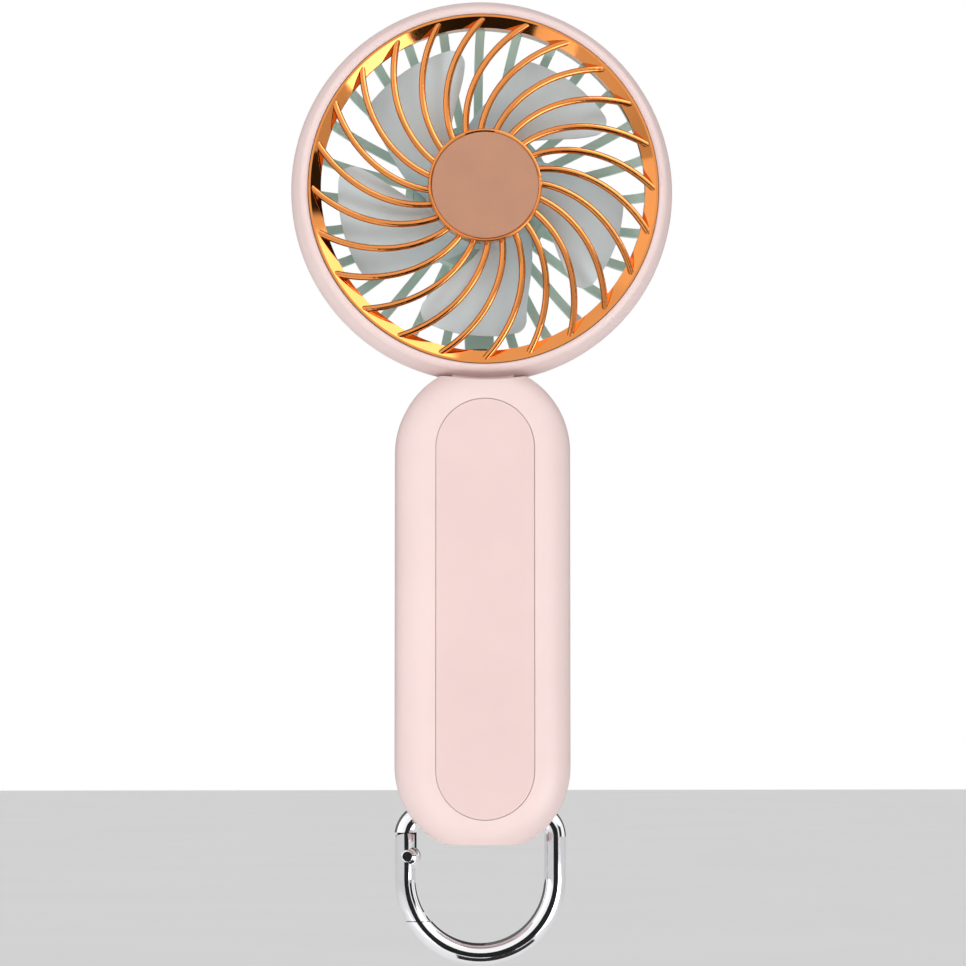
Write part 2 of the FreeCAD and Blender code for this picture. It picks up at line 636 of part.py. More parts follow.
def rear_grille():
    """Rear guard: rim, bars, one wide strut with a channel for the leads, and the pot that seats the motor."""
    body = body_at("rear_grille", "head_height")
    washer(body, "rear_seat+0.1", "head_back-0.1", "rim_inside", "rim_radius")
    turned(body, [
        ("pot_front", "pot_radius-pot_wall"), ("bowl_back-pot_wall", "pot_radius-pot_wall"),
        ("bowl_back-pot_wall", "0"), ("bowl_back", "0"), ("bowl_back", "pot_radius-1", "1"),
        ("bowl_back-1", "pot_radius"), ("pot_front", "pot_radius")])
    bar = feature(body, "Pad", bowl_outline(sketch_on(body, "YZ_Plane"), "0.1", "bowl_thick-0.1", "0.6-pot_radius"))
    bar.SideType = "Symmetric"
    bar.setExpression("Length", bound("bar_width"))
    doc.recompute()
    around(body, [bar], "bar_count")
    strut = feature(body, "Pad", bowl_outline(sketch_on(body, "YZ_Plane"), "0.05", "strut_thick-0.05",
                                              "0.6-pot_radius"))
    strut.SideType = "Symmetric"
    strut.setExpression("Length", bound("strut_width"))
    body.Tip = strut
    doc.recompute()
    channel = feature(body, "Pocket", bowl_outline(sketch_on(body, "YZ_Plane"), "0.7", "strut_thick-1.4",
                                                   "2-pot_radius"))
    channel.SideType = "Symmetric"
    channel.setExpression("Length", bound("lead_slot"))
    body.Tip = channel
    doc.recompute()
    post = slab(body, lambda sketch: circle(sketch, "0", "post_circle", "post_radius"),
                "pot_front+flange_thick", "bowl_back-0.4")
    posts = around(body, [post], "3")
    hole = slab(body, lambda sketch: circle(sketch, "0", "post_circle", "screw_radius+0.1"),
                "pot_front", "bowl_back+1", "Pocket")
    sink = slab(body, lambda sketch: circle(sketch, "0", "post_circle", "1.75"),
                "bowl_back-1.2", "bowl_back+1", "Pocket")
    around(body, [hole, sink], "3")
    keep(body, "rear_grille")


# ---------------------------------------------------------------- impeller and motor

def blade_place(radius, share):
    """Point of a blade's middle surface: share -1 is its trailing side, +1 its leading side, further back."""
    tip = size("blade_tip")
    lean = size("blade_sweep") * ((tip - radius) / (tip - size("hub_radius"))) ** 2
    half = size("blade_half") - 0.27 * (radius - size("hub_radius"))
    angle = math.radians(lean + share * half)
    rise = size("blade_middle") + size("blade_rise") * share
    return Vector(radius * math.cos(angle), rise, radius * math.sin(angle))


def blade():
    """Blade: a twisted sheet of even thickness, cut to its rounded outline seen from the front."""
    tip = size("blade_tip")
    root = size("hub_radius") - 0.8
    span = tip - root
    surface = Part.BSplineSurface()
    surface.interpolate([[blade_place(root - 0.5 + (span + 1.5) * step / 6, share / 4) for share in range(-5, 6)]
                         for step in range(7)])
    twisted = surface.toShape().extrude(Vector(0, size("blade_thick"), 0))

    far = size("blade_rise") * 3
    sides = []
    for share in (-1, 1):
        side = [blade_place(root + span * step / 3, share) for step in range(4)]
        sides.append([Vector(point.x, -far, point.z) for point in side])
    edges = []
    for side in sides:
        curve = Part.BSplineCurve()
        curve.interpolate(side)
        edges.append(curve.toShape())
    for end, radius in ((0, root), (-1, tip)):
        middle = blade_place(radius, 0)
        middle.y = -far
        edges.append(Part.Arc(sides[0][end], middle, sides[1][end]).toShape())
    prism = Part.Face(Part.Wire(Part.__sortEdges__(edges))).extrude(Vector(0, 2 * far, 0))
    corners = [edge for edge in prism.Edges if abs(edge.Length - 2 * far) < 0.01
               and math.hypot(edge.CenterOfMass.x, edge.CenterOfMass.z) > tip - 1]
    return prism.makeFillet(size("blade_corner"), corners).common(twisted)


def impeller():
    """Five swept blades on a cup that drops over the motor."""
    hub = body_at("impeller_hub")
    turned(hub, [
        ("-hub_front", "shaft_radius"), ("-hub_front", "hub_radius-1", "-1"), ("1-hub_front", "hub_radius"),
        ("hub_back", "hub_radius"), ("hub_back", "hub_radius-hub_wall"),
        ("hub_wall-hub_front", "hub_radius-hub_wall"), ("hub_wall-hub_front", "shaft_radius")])
    first = blade()
    count = int(size("blade_count"))
    blades = []
    for index in range(count):
        copy = first.copy()
        copy.rotate(Vector(0, 0, 0), Vector(0, 1, 0), size("blade_turn") + 360 * index / count)
        blades.append(copy)
    shaped("impeller", hub.Shape.fuse(blades), size("head_height"))


def rotor():
    """Shaft, steel bell and ring magnet, which turn with the impeller."""
    inside = "hub_radius-hub_wall"
    front = "hub_wall-hub_front"
    shaft = body_at("motor_shaft", "head_height")
    washer(shaft, "0.2-hub_front", "shaft_back", "0", "shaft_radius")
    keep(shaft, "motor_shaft")
    bell = body_at("rotor_bell", "head_height")
    turned(bell, [
        (front, "shaft_radius"), (front, inside), ("bell_back", inside), ("bell_back", inside + "-bell_wall"),
        (front + "+bell_wall", inside + "-bell_wall"), (front + "+bell_wall", "shaft_radius")])
    keep(bell, "rotor_bell")
    magnet = body_at("rotor_magnet", "head_height")
    washer(magnet, "-magnet_front", "magnet_back", inside + "-bell_wall-magnet_thick", inside + "-bell_wall")
    keep(magnet, "rotor_magnet")


def stator():
    """Laminated core with six arms, and a coil around each arm."""
    core = body_at("stator_core", "head_height")
    washer(core, "-stator_front", "stator_back", "tube_radius", "stator_ring")
    arm = slab(core, lambda sketch: rectangle(sketch, "-arm_width/2", "arm_width/2", "stator_ring-0.3",
                                              "shoe_inner+0.3"), "-stator_front", "stator_back")
    shoe = slab(core, lambda sketch: outline(sketch, [
        ("-2.9", "shoe_inner-0.1"), ("2.9", "shoe_inner-0.1"), ("3.2", "shoe_inner+0.35", "stator_radius"),
        ("-3.2", "shoe_inner+0.35")]), "-stator_front", "stator_back")
    around(core, [arm, shoe], "arm_count")
    keep(core, "stator_core")

    coils = []
    count = int(size("arm_count"))
    for index in range(count):
        body = body_at("coil_%d" % index, "head_height")
        body.Placement = Placement(body.Placement.Base, Rotation(Vector(0, 1, 0), 360 * index / count))
        slab(body, lambda sketch: rectangle(sketch, "-arm_width/2-coil_side", "arm_width/2+coil_side", "coil_inner",
                                            "coil_outer"), "-stator_front-coil_side", "stator_back+coil_side")
        rounded(body, body.Tip, "0.8", lambda edge: abs(edge.Length - size("coil_outer-coil_inner")) < 0.001
                and abs(edge.tangentAt(edge.FirstParameter).z) > 0.9)
        slab(body, lambda sketch: rectangle(sketch, "-arm_width/2", "arm_width/2", "coil_inner-1",
                                            "coil_outer+1"), "-stator_front", "stator_back", "Pocket")
        coils.append(body)
    keep(group("motor_coils", coils), "motor_coils")


def motor_frame():
    """Motor base with its bearing tube, two bearings, a round board and three screws."""
    base = body_at("motor_base", "head_height")
    flange_back = "pot_front+flange_thick"
    turned(base, [
        ("-1", "bearing_radius"), (flange_back, "bearing_radius"), (flange_back, "flange_radius"),
        ("pot_front", "flange_radius"), ("pot_front", "tube_radius"), ("-1", "tube_radius")])
    hole = slab(base, lambda sketch: circle(sketch, "0", "post_circle", "screw_radius"), "pot_front-1",
                flange_back + "+1", "Pocket")
    around(base, [hole], "3")
    slab(base, lambda sketch: rectangle(sketch, "-lead_slot/2", "lead_slot/2", "-disc_board_radius-0.8",
                                        "1.2-disc_board_radius"), "pot_front-1", flange_back + "+1", "Pocket")
    keep(base, "motor_base")

    for label, front in (("front_bearing", "-1"), ("rear_bearing", flange_back + "-bearing_length")):
        bearing = body_at(label, "head_height")
        washer(bearing, front, front + "+bearing_length", "bearing_bore", "bearing_radius")
        keep(bearing, label)

    board = body_at("motor_board", "head_height")
    washer(board, "pot_front-disc_board_thick", "pot_front", "tube_radius", "disc_board_radius")
    keep(board, "motor_board")

    screws = []
    for index in range(3):
        body = body_at("motor_screw_%d" % index, "head_height")
        body.Placement = Placement(body.Placement.Base, Rotation(Vector(0, 1, 0), 120 * index))
        slab(body, lambda sketch: circle(sketch, "0", "post_circle", "screw_radius"), "pot_front", "bowl_back-1")
        slab(body, lambda sketch: circle(sketch, "0", "post_circle", "1.6"), "bowl_back-1.2", "bowl_back-0.1")
        slab(body, lambda sketch: circle(sketch, "0", "post_circle", "0.7"), "bowl_back-0.7", "bowl_back+0.4",
             "Pocket")
        screws.append(body)
    keep(group("motor_screws", screws), "motor_screws")


def tube(points, radius, bend):
    """Tube along straight runs that are joined by tangent arcs."""
    edges = []
    last = points[0]
    for before, corner, after in zip(points, points[1:], points[2:]):
        into = (corner - before).normalize()
        out = (after - corner).normalize()
        half_turn = into.getAngle(out) / 2
        reach = bend * math.tan(half_turn)
        first = corner - into * reach
        second = corner + out * reach
        centre = corner + (out - into).normalize() * (bend / math.cos(half_turn))
        middle = centre + (corner - centre).normalize() * bend
        edges.append(Part.LineSegment(last, first).toShape())
        edges.append(Part.Arc(first, middle, second).toShape())
        last = second
    edges.append(Part.LineSegment(last, points[-1]).toShape())
    path = Part.Wire(edges)
    ring = Part.Wire(Part.Circle(points[0], (points[1] - points[0]).normalize(), radius).toShape())
    return path.makePipeShell([ring], True, False)


def leads():
    """Insulated leads: battery to the boards, and up the neck and the wide strut to the motor."""
    wire = 0.45
    head = size("head_height")
    seat = size("switch_back")
    motor = []
    for across in (-0.75, 0.75):
        route = [Vector(across, depth, head - radius) for depth, radius in (
            (seat - 1.5, 53), (2.4, 49.6), (2.4, 39.6), (6.6, 38.3), (10.4, 35.2), (12.9, 31), (14.2, 26),
            (15.1, 18), (14.2, 10), (size("pot_front") + 0.1, 9.9))]
        motor.append(tube(route, wire, 1.4))
    shaped("motor_leads", Part.makeCompound(motor))
    cell = []
    for across in (-13, 13):
        route = [Vector(math.copysign(3.4, across), 3, 18.2), Vector(across, 3, 18.6), Vector(across, 3, 86),
                 Vector(math.copysign(4.4, across), 3.9, 89)]
        cell.append(tube(route, wire, 2))
    shaped("battery_leads", Part.makeCompound(cell))


# ---------------------------------------------------------------- snap hook

def hook_edges():
    """Centre line of the D, from the gate's end of the wire over the top, down and round to the left again."""
    half = size("hook_half")
    corner = size("hook_corner")
    top = size("bar_height")
    low = size("hook_low")
    back = size("bar_back")
    slant = math.sqrt(0.5)

    def at(across, height):
        return Vector(across, back, height)

    left, right = corner - half, half - corner
    shoulder = top - corner
    return [
        Part.LineSegment(at(-half, size("gate_top") - 2.2), at(-half, shoulder)),
        Part.Arc(at(-half, shoulder), at(left - corner * slant, shoulder + corner * slant), at(left, top)),
        Part.LineSegment(at(left, top), at(right, top)),
        Part.Arc(at(right, top), at(right + corner * slant, shoulder + corner * slant), at(half, shoulder)),
        Part.LineSegment(at(half, shoulder), at(half, low)),
        Part.Arc(at(half, low), at(0, low - half), at(-half, low))]


def swept_wire(curves, radius):
    """Round wire along a chain of curves."""
    path = Part.Wire([curve.toShape() for curve in curves])
    start = curves[0].value(curves[0].FirstParameter)
    heading = curves[0].tangent(curves[0].FirstParameter)[0]
    ring = Part.Wire(Part.Circle(start, heading, radius).toShape())
    return path.makePipeShell([ring], True, False)


def pivot_rod(radius, thick):
    """Cylinder about the gate's rivet axis, centred on the wire."""
    base = Vector(size("pivot_across"), size("bar_back") - thick / 2, size("pivot_height"))
    return Part.makeCylinder(radius, thick, base, Vector(0, 1, 0))


def span_box(left, right, thick, low, high):
    """Box centred on the wire's plane."""
    return Part.makeBox(right - left, thick, high - low, Vector(left, size("bar_back") - thick / 2, low))


def snap_hook():
    """D-shaped hook, gate, rivet, and the sprung plunger inside the gate."""
    gap = size("gate_gap")
    top = size("gate_top")
    end = size("gate_end")
    back = size("bar_back")
    half = size("hook_half")
    pivot = Vector(size("pivot_across"), back, size("pivot_height"))
    wire = swept_wire(hook_edges(), size("hook_wire"))
    window = span_box(-30, 0, 20, end, top)
    reach = pivot.z - end
    tongue = size("tongue_thick")
    width = size("tongue_width")
    stem = span_box(pivot.x - width, pivot.x + width, tongue, pivot.z, top + 0.5)
    nose_middle = -math.sqrt(half * half - (end - size("hook_low")) ** 2)
    nose = span_box(nose_middle - 1, nose_middle + 1.6, tongue, end - 1, end + 1.5)
    cam = pivot_rod(width, tongue)
    cam.translate(Vector(size("cam_offset"), 0, 0))
    body = wire.cut(window).fuse([stem, cam, nose])
    body = body.cut(pivot_rod(size("pivot_radius") + 0.1, 12)).removeSplitter()
    shaped("carabiner_body", body)

    low = size("hook_low")
    gate_path = [
        Part.LineSegment(Vector(-half, back, pivot.z + 9), Vector(-half, back, low)),
        Part.Arc(Vector(-half, back, low), Vector(-half * math.cos(0.5), back, low - half * math.sin(0.5)),
                 Vector(0, back, low - half))]
    gate = swept_wire(gate_path, size("gate_wire"))
    above = span_box(-30, 0, 20, pivot.z, top + 8).cut(pivot_rod(top - gap - pivot.z, 20))
    below = span_box(-30, 5, 20, -40, end + gap)
    knuckle = Part.makeSphere(size("knuckle_radius"), pivot + Vector(0.5, 0, 0))
    gate = gate.fuse(knuckle).cut([above, below])
    slot = size("slot_width")
    upper_slot = span_box(pivot.x - width - 0.15, 0, slot, pivot.z - width - 0.9, top + 3)
    lower_slot = span_box(-30, nose_middle + 1.8, slot, end - 1, end + 2.2)
    bore = Part.makeCylinder(size("plunger_radius") + 0.1, 8, Vector(-half, back, size("spring_low")),
                             Vector(0, 0, 1))
    gate = gate.cut([upper_slot, lower_slot, bore, pivot_rod(size("pivot_radius"), 12)]).removeSplitter()
    shaped("carabiner_gate", gate)

    rivet = pivot_rod(size("pivot_radius"), 2 * size("gate_wire") + 0.6)
    rims = [edge for edge in rivet.Edges if edge.Curve.TypeId == "Part::GeomCircle"]
    shaped("gate_pin", rivet.makeFillet(0.4, rims))

    tip = pivot.z - width - 0.05
    plunger = Part.makeCylinder(size("plunger_radius"), 2.4, Vector(-half, back, tip - 2.4), Vector(0, 0, 1))
    shaped("gate_plunger", plunger)
    turns = 6
    wire_radius = 0.14
    start = size("spring_low") + wire_radius
    length = tip - 2.4 - wire_radius - start
    coil_radius = size("plunger_radius") - 0.2
    helix = Part.makeHelix(length / turns, length, coil_radius)
    ring = Part.Wire(Part.Circle(Vector(coil_radius, 0, 0), Vector(0, 1, 0), wire_radius).toShape())
    spring = Part.Wire(helix.Edges).makePipeShell([ring], True, True)
    spring.translate(Vector(-half, back, start))
    shaped("gate_spring", spring)


# ---------------------------------------------------------------- everything

handle_shells()
front_panel()
case_screws()
battery()
charging()
controls()
head_rings()
front_grille()
rear_grille()
impeller()
rotor()
stator()
motor_frame()
leads()
snap_hook()
doc.recompute()

for item in doc.Objects:
    if {"Invalid", "Error"} & set(item.State):
        raise RuntimeError("%s did not build" % item.Name)
os.makedirs("parts", exist_ok=True)
for item in subparts:
    if item.Shape.isNull() or not item.Shape.isValid() or not item.Shape.Solids:
        raise RuntimeError("%s has no sound solid" % item.Label)
    item.Shape.exportStep("parts/%s.step" % item.Label)
    print("%-20s %2d solids %10.1f mm3" % (item.Label, len(item.Shape.Solids), item.Shape.Volume))
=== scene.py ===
import json
import math

import bpy
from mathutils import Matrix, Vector

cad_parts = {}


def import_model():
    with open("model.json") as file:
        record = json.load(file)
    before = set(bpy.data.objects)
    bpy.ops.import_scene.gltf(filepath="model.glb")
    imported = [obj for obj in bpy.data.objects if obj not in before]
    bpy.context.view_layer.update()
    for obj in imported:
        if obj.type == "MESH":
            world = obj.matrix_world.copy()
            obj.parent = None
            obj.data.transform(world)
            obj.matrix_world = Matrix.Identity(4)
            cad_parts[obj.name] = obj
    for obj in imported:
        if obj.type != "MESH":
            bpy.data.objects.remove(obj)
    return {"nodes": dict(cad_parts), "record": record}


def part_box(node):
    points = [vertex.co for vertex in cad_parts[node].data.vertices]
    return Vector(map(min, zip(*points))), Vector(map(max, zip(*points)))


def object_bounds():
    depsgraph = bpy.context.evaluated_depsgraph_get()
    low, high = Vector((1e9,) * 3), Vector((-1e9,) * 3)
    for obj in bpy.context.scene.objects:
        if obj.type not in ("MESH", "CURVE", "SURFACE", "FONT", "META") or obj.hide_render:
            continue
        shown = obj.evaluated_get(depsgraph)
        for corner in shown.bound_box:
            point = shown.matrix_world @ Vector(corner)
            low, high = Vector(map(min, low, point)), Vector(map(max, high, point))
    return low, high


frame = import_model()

cad_low, cad_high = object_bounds()


# ---------------------------------------------------------------- looks
# Every visible piece is a CAD node, so its look is the material of its slot in the record.
# Colours are linear, lengths are in metres, and a noise's scale is its features a metre.

PINK = (0.700, 0.552, 0.532)
PANEL = (0.660, 0.500, 0.482)
BUTTON = tuple(part * 0.96 for part in PINK)
ROSE = (0.74, 0.27, 0.075)
HUB = (0.55, 0.29, 0.19)
SAGE = (0.62, 0.80, 0.71)
BLADE = (0.68, 0.80, 0.83)
CHROME = (0.82, 0.82, 0.84)
STEEL = (0.6, 0.6, 0.62)

# Moulded plastics: mean roughness, scale and depth of the grain, light that soaks in, clear coat, and
# how far the colour varies.
PLASTICS = {
    "pink_shell": dict(colour=PINK),
    "pink_panel": dict(colour=PANEL, rough=0.36, grain=3200, depth=6e-6),
    "pink_button": dict(colour=BUTTON, rough=0.34, grain=3200, depth=6e-6),
    "sage_plastic": dict(colour=SAGE, rough=0.5, grain=2400, depth=10e-6, soft=0.02),
    "cell_wrap": dict(colour=(0.05, 0.22, 0.42), rough=0.25, grain=900, depth=6e-6, soft=0, coat=0.4),
    "foam": dict(colour=(0.03, 0.03, 0.03), rough=0.9, grain=1800, depth=80e-6, soft=0),
    "board_green": dict(colour=(0.02, 0.16, 0.06), rough=0.3, grain=1500, depth=10e-6, soft=0,
                        coat=0.3, vary=0.12),
    "black_plastic": dict(colour=(0.02, 0.02, 0.021), rough=0.45, grain=2200, depth=10e-6, soft=0),
    "clear_lens": dict(colour=(0.86, 0.85, 0.82), rough=0.15, grain=900, depth=3e-6, soft=0.2, coat=0.3),
    "magnet": dict(colour=(0.05, 0.05, 0.055), rough=0.6, grain=3000, depth=20e-6, soft=0),
    "lead_insulation": dict(colour=(0.42, 0.50, 0.45), rough=0.4, grain=2000, depth=10e-6, soft=0.05),
}

# Metals: mean roughness, how the streaks are stretched along the axes, their scale, how far the roughness
# spreads, and their depth.
METALS = {
    "rose_gold_plating": dict(colour=ROSE, scale=500),
    "hook_chrome": dict(colour=CHROME, streak=(1, 1, 0.15), scale=1600, spread=0.06, depth=2e-6),
    "bright_steel": dict(colour=STEEL, rough=0.2, streak=(1, 0.1, 1), scale=3000, spread=0.15),
    "screw_steel": dict(colour=(0.5, 0.5, 0.52), rough=0.28, scale=2500, spread=0.15),
    "socket_steel": dict(colour=STEEL, rough=0.25, streak=(1, 1, 0.1), scale=3000, spread=0.15),
    "nickel": dict(colour=(0.66, 0.62, 0.56), rough=0.3, streak=(0.1, 1, 1), scale=3000, spread=0.15),
    "lamination": dict(colour=(0.32, 0.33, 0.35), rough=0.35, streak=(0.05, 12, 0.05), scale=400,
                       spread=0.2, depth=20e-6),
    "copper": dict(colour=(0.75, 0.30, 0.12), rough=0.28, streak=(2, 2, 2), scale=1500, spread=0.15,
                   depth=40e-6),
    "bearing_bronze": dict(colour=(0.55, 0.36, 0.17), rough=0.4, scale=4000, spread=0.2),
}

# A noise seldom leaves this range, so a colour ramp over it starts and ends here.
NOISE_LOW, NOISE_HIGH = 0.3, 0.7


# ---------------------------------------------------------------- studio

# Camera: a long lens a little to the left of the fan's front and a little below it.
LENS_MM, SENSOR_MM = 141, 36
CAMERA_DISTANCE = 0.863
CAMERA_BEARING, CAMERA_RISE = -3.4, -3.4        # degrees
AIM_RIGHT = 0.0002                              # of the fan's middle plane
AIM_UP = 0.4985                                 # share of the fan's height
CLIP_START = 0.01

# Area lights: where each stands, what it is aimed at, its width and height, and its watts. The mirrored
# one lights only what mirrors it, and the others are not seen in reflections.
MIDDLE = (cad_low + cad_high) / 2
NEAR_NECK, NEAR_HEAD = (0, 0, 0.1), (0, 0, 0.15)
LAMPS = {
    "key": ((-0.55, -0.75, 0.75), MIDDLE, 0.5, 0.7, 3),
    "fill": ((0.7, -0.6, 0.2), MIDDLE, 0.4, 0.8, 1.6),
    "top": ((0, 0.1, 0.95), MIDDLE, 0.8, 0.5, 1),
    "under": ((-0.25, -0.50, -0.20), NEAR_NECK, 0.5, 0.3, 1.8),
    "low": ((0.30, -0.28, -0.12), NEAR_HEAD, 0.30, 0.22, 0.7),
}
MIRRORED_LAMP = "low"

# What polished metal reflects: bearing from and to (0 is straight in front, 90 to the right), elevation
# from and to, soft edge, and brightness, laid over one another in this order.
ROOM = 1.1
BANKS = [
    (-110, 110, -90, -58, 6, 0.25),
    (-34, 34, -60, -14, 5, 0.06),
    (124, 200, -90, 90, 5, 0.05),
    (-200, -112, -90, 90, 5, 0.15),
    (28, 84, 24, 70, 6, 3.2),
    (-100, -46, -15, 35, 6, 1.3),
    (46, 72, -16, 14, 3, 0.03),
]

# Soft light from all round: how bright it is straight behind, at the sides and straight in front.
SOFT_LIGHT = [(0.0, 0.70), (0.5, 0.60), (1.0, 1.0)]
SOFT_STRENGTH = 0.97

# Floor, and the black flags' foot and top, from the fan's lowest point.
FLOOR_DROP, FLOOR_REACH = 0.22, 12.0
FLAG_DROP, FLAG_RISE = 0.20, 0.075
FLAG_FRONT = -0.30                              # how far in front of the fan the upright flag stands


# ---------------------------------------------------------------- node helpers

def new_material(name):
    """Empty node material: the material, its node tree and its Principled shader."""
    material = bpy.data.materials.new(name)
    material.use_nodes = True
    return material, material.node_tree, material.node_tree.nodes["Principled BSDF"]


def coordinates(tree, stretch=(1, 1, 1)):
    """Object coordinates in metres, stretched along the axes."""
    place = tree.nodes.new("ShaderNodeTexCoord")
    scale = tree.nodes.new("ShaderNodeMapping")
    scale.inputs["Scale"].default_value = stretch
    tree.links.new(place.outputs["Object"], scale.inputs["Vector"])
    return scale.outputs["Vector"]


def noise(tree, vector, scale, detail=3, rough=0.5):
    """Noise factor at so many features a metre."""
    node = tree.nodes.new("ShaderNodeTexNoise")
    node.inputs["Scale"].default_value = scale
    node.inputs["Detail"].default_value = detail
    node.inputs["Roughness"].default_value = rough
    tree.links.new(vector, node.inputs["Vector"])
    return node.outputs["Fac"]


def ramp(tree, factor, stops):
    """Colour ramp through (place, colour) stops; a plain number is a grey."""
    node = tree.nodes.new("ShaderNodeValToRGB")
    elements = node.color_ramp.elements
    while len(elements) < len(stops):
        elements.new(0.5)
    for element, (place, colour) in zip(elements, stops):
        element.position = place
        element.color = (*colour, 1) if isinstance(colour, tuple) else (colour, colour, colour, 1)
    tree.links.new(factor, node.inputs["Fac"])
    return node.outputs["Color"]


def feed(tree, socket, value):
    """Set a socket to a plain number, or link it to another node's output."""
    if isinstance(value, (int, float)):
        socket.default_value = value
    else:
        tree.links.new(value, socket)


def arithmetic(tree, kind, *values):
    """Math node on sockets or plain numbers."""
    node = tree.nodes.new("ShaderNodeMath")
    node.operation = kind
    for socket, value in zip(node.inputs, values):
        feed(tree, socket, value)
    return node.outputs["Value"]


def vector_arithmetic(tree, kind, vector, other=None):
    """Vector Math node on a socket and, if it takes one, a constant vector."""
    node = tree.nodes.new("ShaderNodeVectorMath")
    node.operation = kind
    tree.links.new(vector, node.inputs[0])
    if other:
        node.inputs[1].default_value = other
    return node.outputs["Value" if kind == "LENGTH" else "Vector"]


# ---------------------------------------------------------------- materials

def settle(shader, values):
    """Set the values that are the same all over the surface on the shader's own sockets."""
    for socket, value in values.items():
        shader.inputs[socket].default_value = value


def drift(tree, shader, factor, colour, darker, lighter):
    """Base colour that wanders with a factor between a darker and a lighter shade."""
    ends = [tuple(min(1, part * share) for part in colour) for share in (darker, lighter)]
    stops = [(NOISE_LOW, ends[0]), (NOISE_HIGH, ends[1])]
    tree.links.new(ramp(tree, factor, stops), shader.inputs["Base Color"])


def gloss(tree, shader, factor, low, high):
    """Roughness that runs from low to high with a factor."""
    node = tree.nodes.new("ShaderNodeMapRange")
    node.inputs["To Min"].default_value = low
    node.inputs["To Max"].default_value = high
    tree.links.new(factor, node.inputs["Value"])
    tree.links.new(node.outputs["Result"], shader.inputs["Roughness"])


def bump(tree, shader, height, depth, strength):
    """Bump of a real depth on a shader."""
    node = tree.nodes.new("ShaderNodeBump")
    node.inputs["Distance"].default_value = depth
    node.inputs["Strength"].default_value = strength
    tree.links.new(height, node.inputs["Height"])
    tree.links.new(node.outputs["Normal"], shader.inputs["Normal"])


def moulded(name, colour, rough=0.42, grain=2600, depth=12e-6, soft=0.08, coat=0.0, vary=0.025):
    """Moulded plastic: fine spark-eroded grain, slow colour drift, and roughness that follows handling."""
    material, tree, shader = new_material(name)
    vector = coordinates(tree)
    drift(tree, shader, noise(tree, vector, 38, 3, 0.6), colour, 1 - vary, 1 + vary)
    gloss(tree, shader, noise(tree, vector, 120, 4, 0.6), rough - 0.05, rough + 0.07)
    bump(tree, shader, noise(tree, vector, grain, 4, 0.65), depth, 0.6)
    settle(shader, {
        "IOR": 1.49,
        "Subsurface Weight": soft,
        "Subsurface Radius": (0.0016, 0.0008, 0.0006),
        "Coat Weight": coat,
        "Coat Roughness": 0.2,
    })
    return material


def metal(name, colour, rough=0.05, streak=(1, 1, 1), scale=900, spread=0.05, depth=1.5e-6):
    """Polished or plated metal with faint streaks in its gloss."""
    material, tree, shader = new_material(name)
    marks = noise(tree, coordinates(tree, streak), scale, 5, 0.7)
    drift(tree, shader, noise(tree, coordinates(tree), 60, 3, 0.6), colour, 0.96, 1.03)
    gloss(tree, shader, marks, max(0.01, rough - spread / 2), rough + spread)
    bump(tree, shader, marks, depth, 0.5)
    settle(shader, {"Metallic": 1})
    return material


def brushed_disc(name, colour, centre):
    """Satin disc with fine concentric brushing about the head's axis."""
    material, tree, shader = new_material(name)
    place = tree.nodes.new("ShaderNodeTexCoord").outputs["Object"]
    from_centre = vector_arithmetic(tree, "SUBTRACT", place, centre)
    across = vector_arithmetic(tree, "MULTIPLY", from_centre, (1, 0, 1))
    rings = tree.nodes.new("ShaderNodeCombineXYZ")
    tree.links.new(vector_arithmetic(tree, "LENGTH", across), rings.inputs["X"])
    brushing = noise(tree, rings.outputs["Vector"], 9000, 3, 0.7)
    drift(tree, shader, noise(tree, place, 110, 3, 0.6), colour, 0.96, 1.04)
    gloss(tree, shader, brushing, 0.34, 0.5)
    bump(tree, shader, brushing, 4e-6, 0.35)
    settle(shader, {"Metallic": 1})
    return material


def blade_plastic(name, colour):
    """Milky grey plastic that lets a little light through."""
    material, tree, shader = new_material(name)
    vector = coordinates(tree)
    drift(tree, shader, noise(tree, vector, 55, 3, 0.6), colour, 0.97, 1.03)
    gloss(tree, shader, noise(tree, vector, 300), 0.26, 0.38)
    bump(tree, shader, noise(tree, vector, 1800), 6e-6, 0.4)
    settle(shader, {
        "IOR": 1.45,
        "Subsurface Weight": 0.3,
        "Subsurface Radius": (0.002, 0.002, 0.0022),
        "Transmission Weight": 0.12,
    })
    return material


def material_set():
    """Material for each of the record's slots."""
    materials = {name: moulded(name, **look) for name, look in PLASTICS.items()}
    materials.update((name, metal(name, **look)) for name, look in METALS.items())
    low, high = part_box("front_grille")
    materials["rose_gold_brushed"] = brushed_disc("rose_gold_brushed", HUB, (0, 0, (low.z + high.z) / 2))
    materials["grey_blade"] = blade_plastic("grey_blade", BLADE)
    return materials


def paint(materials):
    """Give every CAD node the material of its slot in the record."""
    for row in frame["record"]["subparts"]:
        slots = frame["nodes"][row["node"]].data.materials
        slots.clear()
        slots.append(materials[row["material_slot"]])


# ---------------------------------------------------------------- studio pieces

def softbox(name, place, target, width, height, power):
    """Rectangular area light aimed at a point."""
    data = bpy.data.lights.new(name, "AREA")
    data.shape = "RECTANGLE"
    data.size = width
    data.size_y = height
    data.energy = power
    lamp = bpy.data.objects.new(name, data)
    lamp.location = place
    lamp.rotation_euler = (Vector(target) - Vector(place)).to_track_quat("-Z", "Y").to_euler()
    lamp.visible_glossy = name == MIRRORED_LAMP
    lamp.visible_diffuse = name != MIRRORED_LAMP
    bpy.context.collection.objects.link(lamp)


